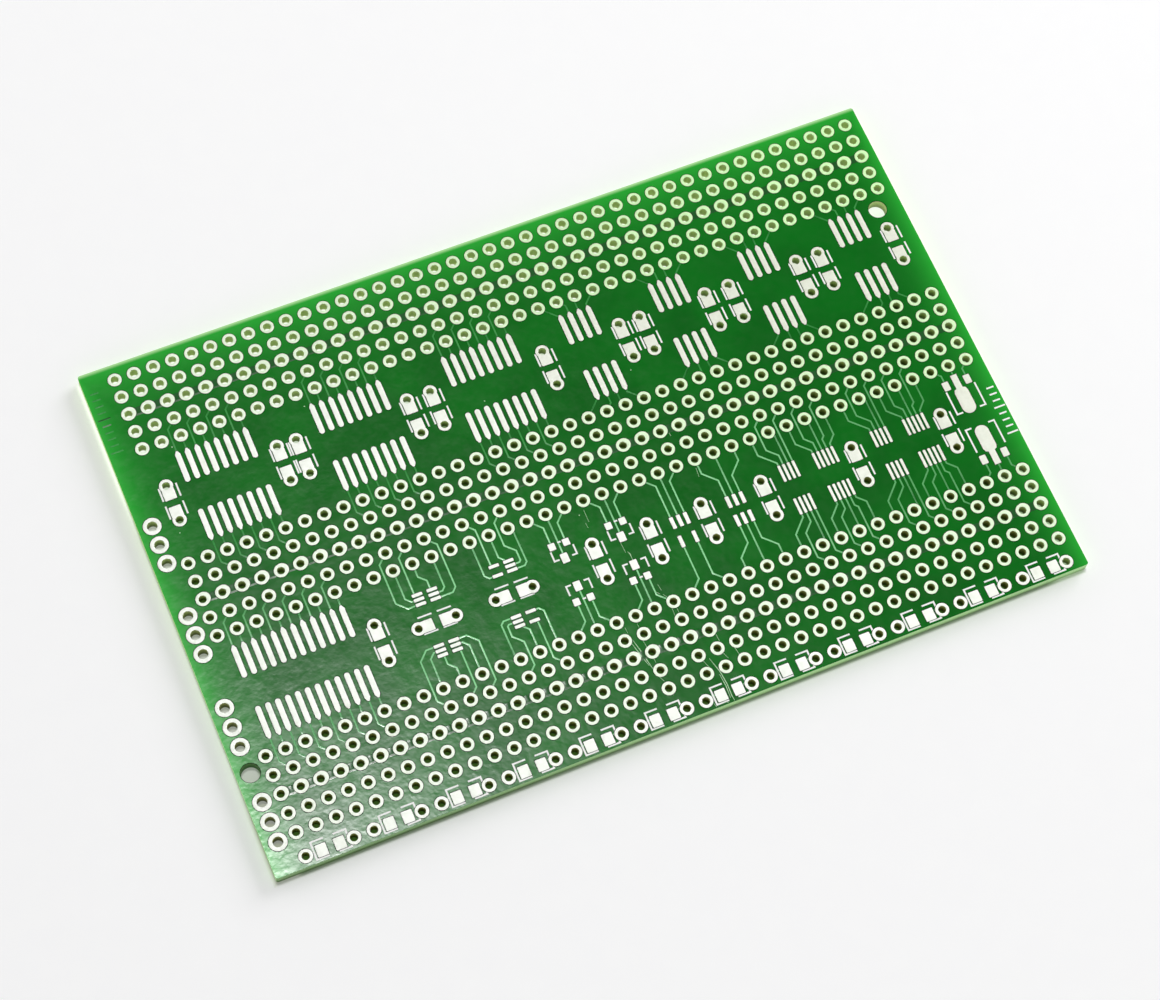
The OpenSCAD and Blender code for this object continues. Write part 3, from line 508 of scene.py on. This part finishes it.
def painted_floor(name, studio):
    """Matt white painted sheet, with painted shade and green light under the board. Light shines up through
    the back holes.
    """
    material, t = material_tree(name)
    place = add(t, "TexCoord").outputs["Object"]
    xyz = add(t, "SeparateXYZ", {0: place}).outputs
    # Painted shadow and the board's green light reach a little way out in front and at the left, where its
    # foot is seen
    aside = add(t, "VectorMath", {0: place, 1: (GREEN_REACH, GREEN_REACH, 0.0)}, operation="ADD")
    under = edge_distance(t, add(t, "SeparateXYZ", {0: aside}).outputs)
    under = add(t, "MapRange", {0: under, 1: -GREEN_REACH, 2: 2 * GREEN_REACH}, **EASED)
    # Daylight reaches in under the left end, as far as its wire holes
    first, full = (inset - HALF_W for inset in LEFT_SHADE)
    shaded = add(t, "MapRange", {0: xyz[0], 1: first, 2: full}, **EASED)
    # Painted shade under the front wire holes, towards the front corner
    corner = add(t, "MapRange", {0: xyz[1], 1: -20 * MM, 2: -29 * MM}, **EASED)
    left_end = add(t, "Mix", {0: corner, 6: studio.floor_end, 7: studio.floor_corner}, **TINTS)
    below = add(t, "Mix", {0: shaded, 6: left_end, 7: studio.floor_under}, **TINTS)
    # Roller marks in the paint, about 3 mm across
    marks = add(t, "TexNoise", {"Vector": place, "Scale": 1 / (3 * MM)})
    base = add(t, "Mix", {0: marks, 6: studio.floor, 7: studio.floor_shade}, **TINTS)
    base = add(t, "Mix", {0: under, 6: base, 7: below}, **TINTS)
    relief = add(t, "Bump", {"Strength": 0.2, "Distance": 0.01 * MM, "Height": marks})
    paint = {"Base Color": base, "Roughness": 0.7, "Specular IOR Level": 0.1, "Normal": relief}
    paint = add(t, "BsdfPrincipled", paint)
    # Light comes up through the back holes and at the right end, and a little at the left end
    through = add(t, "MapRange", {0: xyz[1], 1: 8 * MM, 2: 22 * MM}, **EASED)
    lit = light_from_right(t, xyz, 0.5)
    through = add(t, "Math", {0: through, 1: lit}, operation="MAXIMUM")
    left = add(t, "Math", {0: 1.0, 1: shaded}, operation="SUBTRACT")
    faint = add(t, "Math", {0: left, 1: 0.2}, operation="MULTIPLY")
    through = add(t, "Math", {0: through, 1: faint}, operation="MAXIMUM")
    pale = add(t, "Math", {0: through, 1: left}, operation="MAXIMUM")
    tint = add(t, "Mix", {0: pale, 6: studio.glow_green, 7: studio.glow_tint}, **TINTS)
    # The floor is also the background, so eyes, mirrors and glass see it lighter than the lamps make it
    path = add(t, "LightPath").outputs
    seen = add(t, "Math", {0: path["Is Camera Ray"], 1: path["Is Glossy Ray"]}, operation="MAXIMUM")
    seen = add(t, "Math", {0: seen, 1: path["Is Transmission Ray"]}, operation="MAXIMUM")
    shine = add(t, "Math", {0: through, 1: studio.hole_glow}, operation="MULTIPLY")
    shine = add(t, "Math", {0: studio.under_glow, 1: shine}, operation="ADD")
    share = add(t, "MapRange", {0: seen, 3: UNSEEN_GLOW}, **EASED)
    shine = add(t, "Math", {0: shine, 1: share}, operation="MULTIPLY")
    light = add(t, "Emission", {"Color": tint, "Strength": shine})
    near, away = GLOW_RANGE
    far = add(t, "VectorMath", {0: place}, operation="LENGTH")
    far = add(t, "MapRange", {0: far, 1: near, 2: away, 3: studio.floor_glow, 4: studio.far_glow}, **EASED)
    far = add(t, "Math", {0: seen, 1: far}, operation="MULTIPLY")
    backdrop = add(t, "Emission", {"Color": WHITE, "Strength": far})
    light = add(t, "MixShader", {0: under, 1: backdrop, 2: light})
    both = add(t, "AddShader", {0: paint, 1: light})
    add(t, "OutputMaterial", {"Surface": both})
    return material


def coat(obj, material):
    """Gives a CAD node or a piece this one material."""
    if not obj.material_slots:
        obj.data.materials.append(material)
    for slot in obj.material_slots:
        slot.material = material


# ---- Meshes ----


def merged_copy(node):
    """A bmesh of a CAD node whose loose triangles are joined. The node itself stays as it is."""
    bm = bmesh.new()
    bm.from_mesh(NODES[node].data)
    bmesh.ops.remove_doubles(bm, verts=bm.verts[:], dist=MERGE)
    return bm


def faces_at(bm, height, side):
    """Level faces at a height that look up (side 1) or down (side -1)."""
    bm.normal_update()
    return [
        f
        for f in bm.faces
        if f.normal.z * side > LEVEL_NORMAL and abs(f.calc_center_median().z - height) < LEVEL
    ]


def piece(name, bm, material):
    """A finished mesh as a piece that rides on the board."""
    mesh = bpy.data.meshes.new(name)
    bm.to_mesh(mesh)
    bm.free()
    custom = mesh.attributes.get("custom_normal")
    if custom:
        mesh.attributes.remove(custom)
    mesh.materials.clear()
    mesh.materials.append(material)
    mesh.shade_smooth()
    mesh.set_sharp_from_angle(angle=SHARP_EDGE)
    obj = bpy.data.objects.new(name, mesh)
    bpy.context.scene.collection.objects.link(obj)
    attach(obj, "root")
    return obj


def scratch(bm, line, width, height):
    """A thin burr along a line of places, narrow at its ends, drawn out edge by edge and thickened."""
    z = LACQUER_TOP - BURR_FOOT
    points = [Vector((x * MM, y * MM, z)) for x, y in line]
    runs = [(b - a).normalized() for a, b in zip(points, points[1:])]
    sides = []
    for i in range(len(points)):
        run = (runs[max(i - 1, 0)] + runs[min(i, len(runs) - 1)]).normalized()
        half = width / 2 if 0 < i < len(points) - 1 else width / 5
        sides.append(Vector((-run.y, run.x, 0)) * half)
    ends = [bm.verts.new(points[0] + sides[0]), bm.verts.new(points[0] - sides[0])]
    edge = bm.edges.new(ends)
    faces = []
    for i in range(1, len(points)):
        drawn = bmesh.ops.extrude_edge_only(bm, edges=[edge])["geom"]
        edge = next(g for g in drawn if isinstance(g, bmesh.types.BMEdge))
        faces += [g for g in drawn if isinstance(g, bmesh.types.BMFace)]
        left, right = sorted(
            edge.verts, key=lambda v: (v.co - points[i - 1]).dot(sides[i - 1]), reverse=True
        )
        left.co = points[i] + sides[i]
        right.co = points[i] - sides[i]
    raised = bmesh.ops.extrude_face_region(bm, geom=faces, use_keep_orig=True)["geom"]
    top = [g for g in raised if isinstance(g, bmesh.types.BMVert)]
    bmesh.ops.translate(bm, verts=top, vec=(0, 0, height + BURR_FOOT))


def speck(bm, place, width, height):
    """A low round crumb."""
    at = Matrix.Translation((place[0] * MM, place[1] * MM, LACQUER_TOP))
    flat = Matrix.Diagonal((width / 2, width / 2, height, 1))
    bmesh.ops.create_icosphere(bm, subdivisions=1, radius=1, matrix=at @ flat)


# ---- Properties ----


def colour(name, code, description):
    """A colour to choose, given as an sRGB hex value."""
    return bpy.props.FloatVectorProperty(
        name=name,
        description=description,
        subtype="COLOR",
        size=4,
        min=0,
        max=1,
        default=linear(code),
    )


def size(name, millimetres, description):
    """A length to choose."""
    return bpy.props.FloatProperty(
        name=name,
        description=description,
        unit="LENGTH",
        precision=5,
        min=0,
        default=millimetres * MM,
    )


def amount(name, value, description):
    """A number to choose."""
    return bpy.props.FloatProperty(
        name=name, description=description, min=0, default=value
    )


class BoardColours(bpy.types.PropertyGroup):
    """Colours of the board's own materials."""

    lacquer: colour("Lacquer", "006F14", "Solder mask over bare laminate")
    lacquer_deep: colour("Deep lacquer", "006311", "Solder mask where it pooled")
    lacquer_lit: colour("Lit lacquer", "2AB236", "Solder mask at the back and the ends")
    lacquer_foil: colour("Lacquer on foil", "44A04E", "Solder mask over a track")
    lacquer_foil_deep: colour("Thick lacquer on foil", "2A8439", "Where it is thicker")
    # Painted sheen on the lacquer over the front band's tracks
    lacquer_foil_sheen: colour("Painted sheen on foil", "9CEAA8", "Over the front band's tracks")
    lacquer_bus: colour("Lacquer on a bus row", "215C28", "Solder mask over a broad track")
    # Painted glint on the lacquer along the bus rows' front edges
    lacquer_glint: colour("Painted glint", "F2FAF0", "Painted glint where the lacquer stands highest")
    tin: colour("Tin", "F4F7F0", "Tinned pads and rings")
    # Tin away from the painted sheen, towards the back right
    tin_dim: colour("Dim tin", "DCDFD2", "Tin towards the back right")
    tin_dull: colour("Dull tin", "D2D8C8", "Tin that has gone matt")
    # Painted reflection of the green lacquer in the rings' tin
    tin_green_reflection: colour("Painted green reflection", "C9F1B2", "Painted green reflection on the rings")
    cut_edge: colour("Cut edge", "C8F6B2", "Sawn sides of the laminate")
    cut_glass: colour("Glass in the cut", "B2E298", "Glass plies in the sawn sides")
    cut_back: colour("Cut at the back", "D6FA90", "Sawn sides near the back of the board")
    # Darker front side at its left end, and painted shade at its foot
    cut_dark: colour("Dark cut", "587648", "Sawn front side at its left end and its foot")
    bore_light: colour("Light bore", "DCF2AA", "Hole walls near the back of the board")
    bore_dark: colour("Dark bore", "C2C67C", "Hole walls near the front of the board")
    # Painted shade deep in the holes
    bore_shade: colour("Deep bore", "34481A", "Hole walls further down")
    # Painted shade in the gap round a pad, over laminate and foil alike
    gap_shade: colour("Bare gap", "0E2410", "Laminate and foil between a pad and the lacquer")
    underside: colour("Underside", "A3AF78", "Resin under the board")
    underside_thread: colour("Glass thread", "BCC795", "Woven glass under the board")
    ink: colour("Ink", "FCFDFA", "Legend ink")
    ink_thin: colour("Thin ink", "E6EEE2", "Legend ink where the film is thin")
    copper: colour("Copper", "C98A5E", "Foil under the lacquer")
    copper_dark: colour("Dark copper", "9A5B38", "Brush marks in the foil")
    scuff: colour("Scuff", "CDEBC6", "Lacquer where it has been scratched")
    scuff_dark: colour("Dark scuff", "7FBF80", "Hollows of a scratch")


class BoardShapes(bpy.types.PropertyGroup):
    """How the tin and the lacquer swell over the foil."""

    crown: size("Crown", 0.012, "How far the middle of a pad stands over its rim")
    crown_run: size("Crown run", 0.1, "Width of the slope at a pad's rim")
    ridge: size("Ridge", 0.008, "How far the lacquer swells over a track")
    ridge_run: size("Ridge run", 0.09, "Width of the slope at a ridge's side")
    scratch_w: size("Scratch width", 0.11, "Width of a scratch")
    scratch_h: size("Scratch height", 0.006, "Height of a scratch's burr")
    speck_w: size("Speck width", 0.2, "Width of a speck of dust")
    speck_h: size("Speck height", 0.012, "Height of a speck of dust")


class BoardStudio(bpy.types.PropertyGroup):
    """Floor and lights."""

    floor: colour("Floor", "FCFCFC", "Floor under the board")
    floor_shade: colour("Floor marks", "F9F9FA", "Roller marks in the floor's paint")
    # Painted shade and green light on the floor under the board
    floor_under: colour("Under the board", "54703A", "Floor in the board's green light")
    floor_end: colour("Under the left end", "CDD2C8", "Floor under the wire holes")
    floor_corner: colour("Floor at the corner", "7C8848", "Under the front wire holes")
    floor_glow: amount("Floor glow", 0.09, "Light the open floor adds where it is seen")
    far_glow: amount("Far glow", 0.6, "The same, a metre away, where the lamps are weak")
    glow_green: colour("Green glow", "8CD058", "Light in the holes of the middle and the front")
    glow_tint: colour("Pale glow", "FAFFF6", "Light in the holes of the back and the right")
    under_glow: amount("Glow under the board", 0.1, "Light that comes through the sheet")
    hole_glow: amount("Glow in holes", 0.85, "Light that shines up through the back holes")
    overhead: amount("Overhead", 0.08, "Brightness overhead, where the horizon is 1")
    key: amount("Key", 4.0, "Power of the soft lamp behind and to the right, in watts")
    top: amount("Top", 32.0, "Power of the lamp that the lacquer mirrors, in watts")


def chosen(context):
    """The scene's colours, shapes and studio settings."""
    scene = context.scene
    return scene.board_colours, scene.board_shapes, scene.board_studio


# ---- Operators ----


class BOARD_OT_lacquer(bpy.types.Operator):
    """Finish the solder mask, with low ridges where it runs over the tracks"""

    bl_idname = "board.lacquer"
    bl_label = "Lacquer"

    def execute(self, context):
        colours, shapes, _ = chosen(context)
        coat(NODES["solder_mask"], solder_mask("green solder mask lacquer", colours))
        bm = merged_copy("solder_mask")
        ceilings = set(faces_at(bm, FOIL_TOP, -1))
        if not ceilings:
            raise RuntimeError("the solder mask has no channels over the tracks")
        bmesh.ops.delete(
            bm, geom=[f for f in bm.faces if f not in ceilings], context="FACES"
        )
        raised = bmesh.ops.extrude_face_region(
            bm, geom=bm.faces[:], use_keep_orig=True
        )["geom"]
        top = [g for g in raised if isinstance(g, bmesh.types.BMVert)]
        bmesh.ops.translate(bm, verts=top, vec=(0, 0, LACQUER_TOP - FOIL_TOP + LEVEL))
        bmesh.ops.recalc_face_normals(bm, faces=bm.faces[:])
        bmesh.ops.inset_region(
            bm,
            faces=faces_at(bm, LACQUER_TOP + LEVEL, 1),
            thickness=shapes.ridge_run,
            depth=shapes.ridge,
            use_boundary=True,
            use_even_offset=True,
        )
        material = solder_mask("green solder mask over copper", colours, True)
        piece("track_ridges", bm, material)
        return {"FINISHED"}


class BOARD_OT_laminate(bpy.types.Operator):
    """Finish the glass-epoxy laminate, its sawn sides and its drilled holes"""

    bl_idname = "board.laminate"
    bl_label = "Laminate"

    def execute(self, context):
        colours, _, _ = chosen(context)
        coat(NODES["laminate"], glass_epoxy("sawn glass-epoxy laminate", colours))
        return {"FINISHED"}


class BOARD_OT_tin(bpy.types.Operator):
    """Tin the pads and rings, each crowned by the metal's surface tension"""

    bl_idname = "board.tin"
    bl_label = "Tinned pads"

    def execute(self, context):
        colours, shapes, _ = chosen(context)
        material = levelled_tin("hot-air levelled tin", colours)
        for node in FOIL_NODES:
            bm = merged_copy(node)
            top = faces_at(bm, PAD_TOP, 1)
            if not top:
                raise RuntimeError(f"{node} has no tinned face")
            bmesh.ops.inset_region(
                bm,
                faces=top,
                thickness=shapes.crown_run,
                depth=shapes.crown,
                use_boundary=True,
                use_even_offset=True,
            )
            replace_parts(piece(f"{node}_tinned", bm, material), node)
        return {"FINISHED"}


class BOARD_OT_legend(bpy.types.Operator):
    """Finish the printed legend"""

    bl_idname = "board.legend"
    bl_label = "Legend"

    def execute(self, context):
        colours, _, _ = chosen(context)
        material = epoxy_ink("white epoxy legend ink", colours)
        for node in INK_NODES:
            coat(NODES[node], material)
        return {"FINISHED"}


class BOARD_OT_scale(bpy.types.Operator):
    """Finish the foil marks that lie under the lacquer"""

    bl_idname = "board.scale"
    bl_label = "Foil marks"

    def execute(self, context):
        colours, _, _ = chosen(context)
        coat(NODES["foil_scale"], bare_copper("brushed copper foil", colours))
        return {"FINISHED"}


class BOARD_OT_scuffs(bpy.types.Operator):
    """Scratch the lacquer, mostly in the middle of the front field, and leave a few specks in it"""

    bl_idname = "board.scuffs"
    bl_label = "Scuffs"

    def execute(self, context):
        colours, shapes, _ = chosen(context)
        material = scuffed_lacquer("scuffed lacquer", colours)
        bm = bmesh.new()
        for line in SCRATCHES:
            scratch(bm, line, shapes.scratch_w, shapes.scratch_h)
        bmesh.ops.recalc_face_normals(bm, faces=bm.faces[:])
        piece("scratches", bm, material)
        bm = bmesh.new()
        for place in SPECKS:
            speck(bm, place, shapes.speck_w, shapes.speck_h)
        piece("dust_specks", bm, material)
        return {"FINISHED"}


def soft_lamp(name, place, width, watts):
    """A square soft lamp, turned to the middle of the board."""
    lamp = bpy.data.lights.new(name, "AREA")
    lamp.shape = "SQUARE"
    lamp.size = width
    lamp.energy = watts
    obj = bpy.data.objects.new(name, lamp)
    obj.location = place
    obj.rotation_euler = (-Vector(place)).to_track_quat("-Z", "Y").to_euler()
    bpy.context.scene.collection.objects.link(obj)


class BOARD_OT_studio(bpy.types.Operator):
    """Set the floor, the lamps, the white surroundings and the camera"""

    bl_idname = "board.studio"
    bl_label = "Studio"

    def execute(self, context):
        _, _, studio = chosen(context)
        scene = context.scene

        bm = bmesh.new()
        bmesh.ops.create_grid(
            bm,
            x_segments=1,
            y_segments=1,
            size=FLOOR_HALF,
            matrix=Matrix.Translation((0, 0, -FLOOR_GAP)),
        )
        mesh = bpy.data.meshes.new("floor")
        bm.to_mesh(mesh)
        bm.free()
        floor = bpy.data.objects.new("floor", mesh)
        scene.collection.objects.link(floor)
        coat(floor, painted_floor("matt white floor paint", studio))

        world = bpy.data.worlds.new("white surroundings")
        world.use_nodes = True
        t = world.node_tree
        t.nodes.clear()
        # White at the horizon, where it is the background, and dimmer overhead
        facing = add(t, "TexCoord").outputs["Generated"]
        height = add(t, "SeparateXYZ", {0: facing}).outputs[2]
        strength = add(t, "MapRange", {0: height, 1: 0.3, 2: 0.75, 3: 1.0, 4: studio.overhead}, **EASED)
        sky = add(t, "Background", {"Color": WHITE, "Strength": strength})
        add(t, "OutputWorld", {"Surface": sky})
        scene.world = world

        soft_lamp("key lamp", *KEY_LAMP, studio.key)
        soft_lamp("top lamp", *TOP_LAMP, studio.top)

        data = bpy.data.cameras.new("camera")
        data.lens = CAMERA_LENS
        data.sensor_width = CAMERA_SENSOR
        data.sensor_fit = "HORIZONTAL"
        data.clip_start, data.clip_end = CAMERA_CLIP
        camera = bpy.data.objects.new("camera", data)
        turn = Matrix((CAMERA_RIGHT, CAMERA_UP, CAMERA_BACK)).transposed()
        camera.matrix_world = Matrix.Translation(CAMERA_PLACE) @ turn.to_4x4()
        scene.collection.objects.link(camera)
        scene.camera = camera
        scene.view_settings.view_transform = "Standard"
        return {"FINISHED"}


class BOARD_PT_panel(bpy.types.Panel):
    """The board's pieces and stage, in the order in which they are made"""

    bl_idname = "BOARD_PT_panel"
    bl_label = "Bare circuit board"
    bl_space_type = "VIEW_3D"
    bl_region_type = "UI"
    bl_category = "Board"

    def draw(self, context):
        for group in chosen(context):
            box = self.layout.box()
            for name in group.bl_rna.properties.keys():
                if name not in ("rna_type", "name"):
                    box.prop(group, name)
        for operator in OPERATORS:
            self.layout.operator(operator.bl_idname)


OPERATORS = (
    BOARD_OT_laminate,
    BOARD_OT_lacquer,
    BOARD_OT_tin,
    BOARD_OT_scale,
    BOARD_OT_legend,
    BOARD_OT_scuffs,
    BOARD_OT_studio,
)
GROUPS = {
    "board_colours": BoardColours,
    "board_shapes": BoardShapes,
    "board_studio": BoardStudio,
}
CLASSES = (*GROUPS.values(), *OPERATORS, BOARD_PT_panel)


def register():
    for cls in CLASSES:
        bpy.utils.register_class(cls)
    for name, group in GROUPS.items():
        setattr(bpy.types.Scene, name, bpy.props.PointerProperty(type=group))


def unregister():
    for name in GROUPS:
        delattr(bpy.types.Scene, name)
    for cls in reversed(CLASSES):
        bpy.utils.unregister_class(cls)


def main():
    register()
    bpy.ops.board.laminate()
    bpy.ops.board.lacquer()
    bpy.ops.board.tin()
    bpy.ops.board.scale()
    bpy.ops.board.legend()
    bpy.ops.board.scuffs()
    bpy.ops.board.studio()


if __name__ == "__main__":
    main()
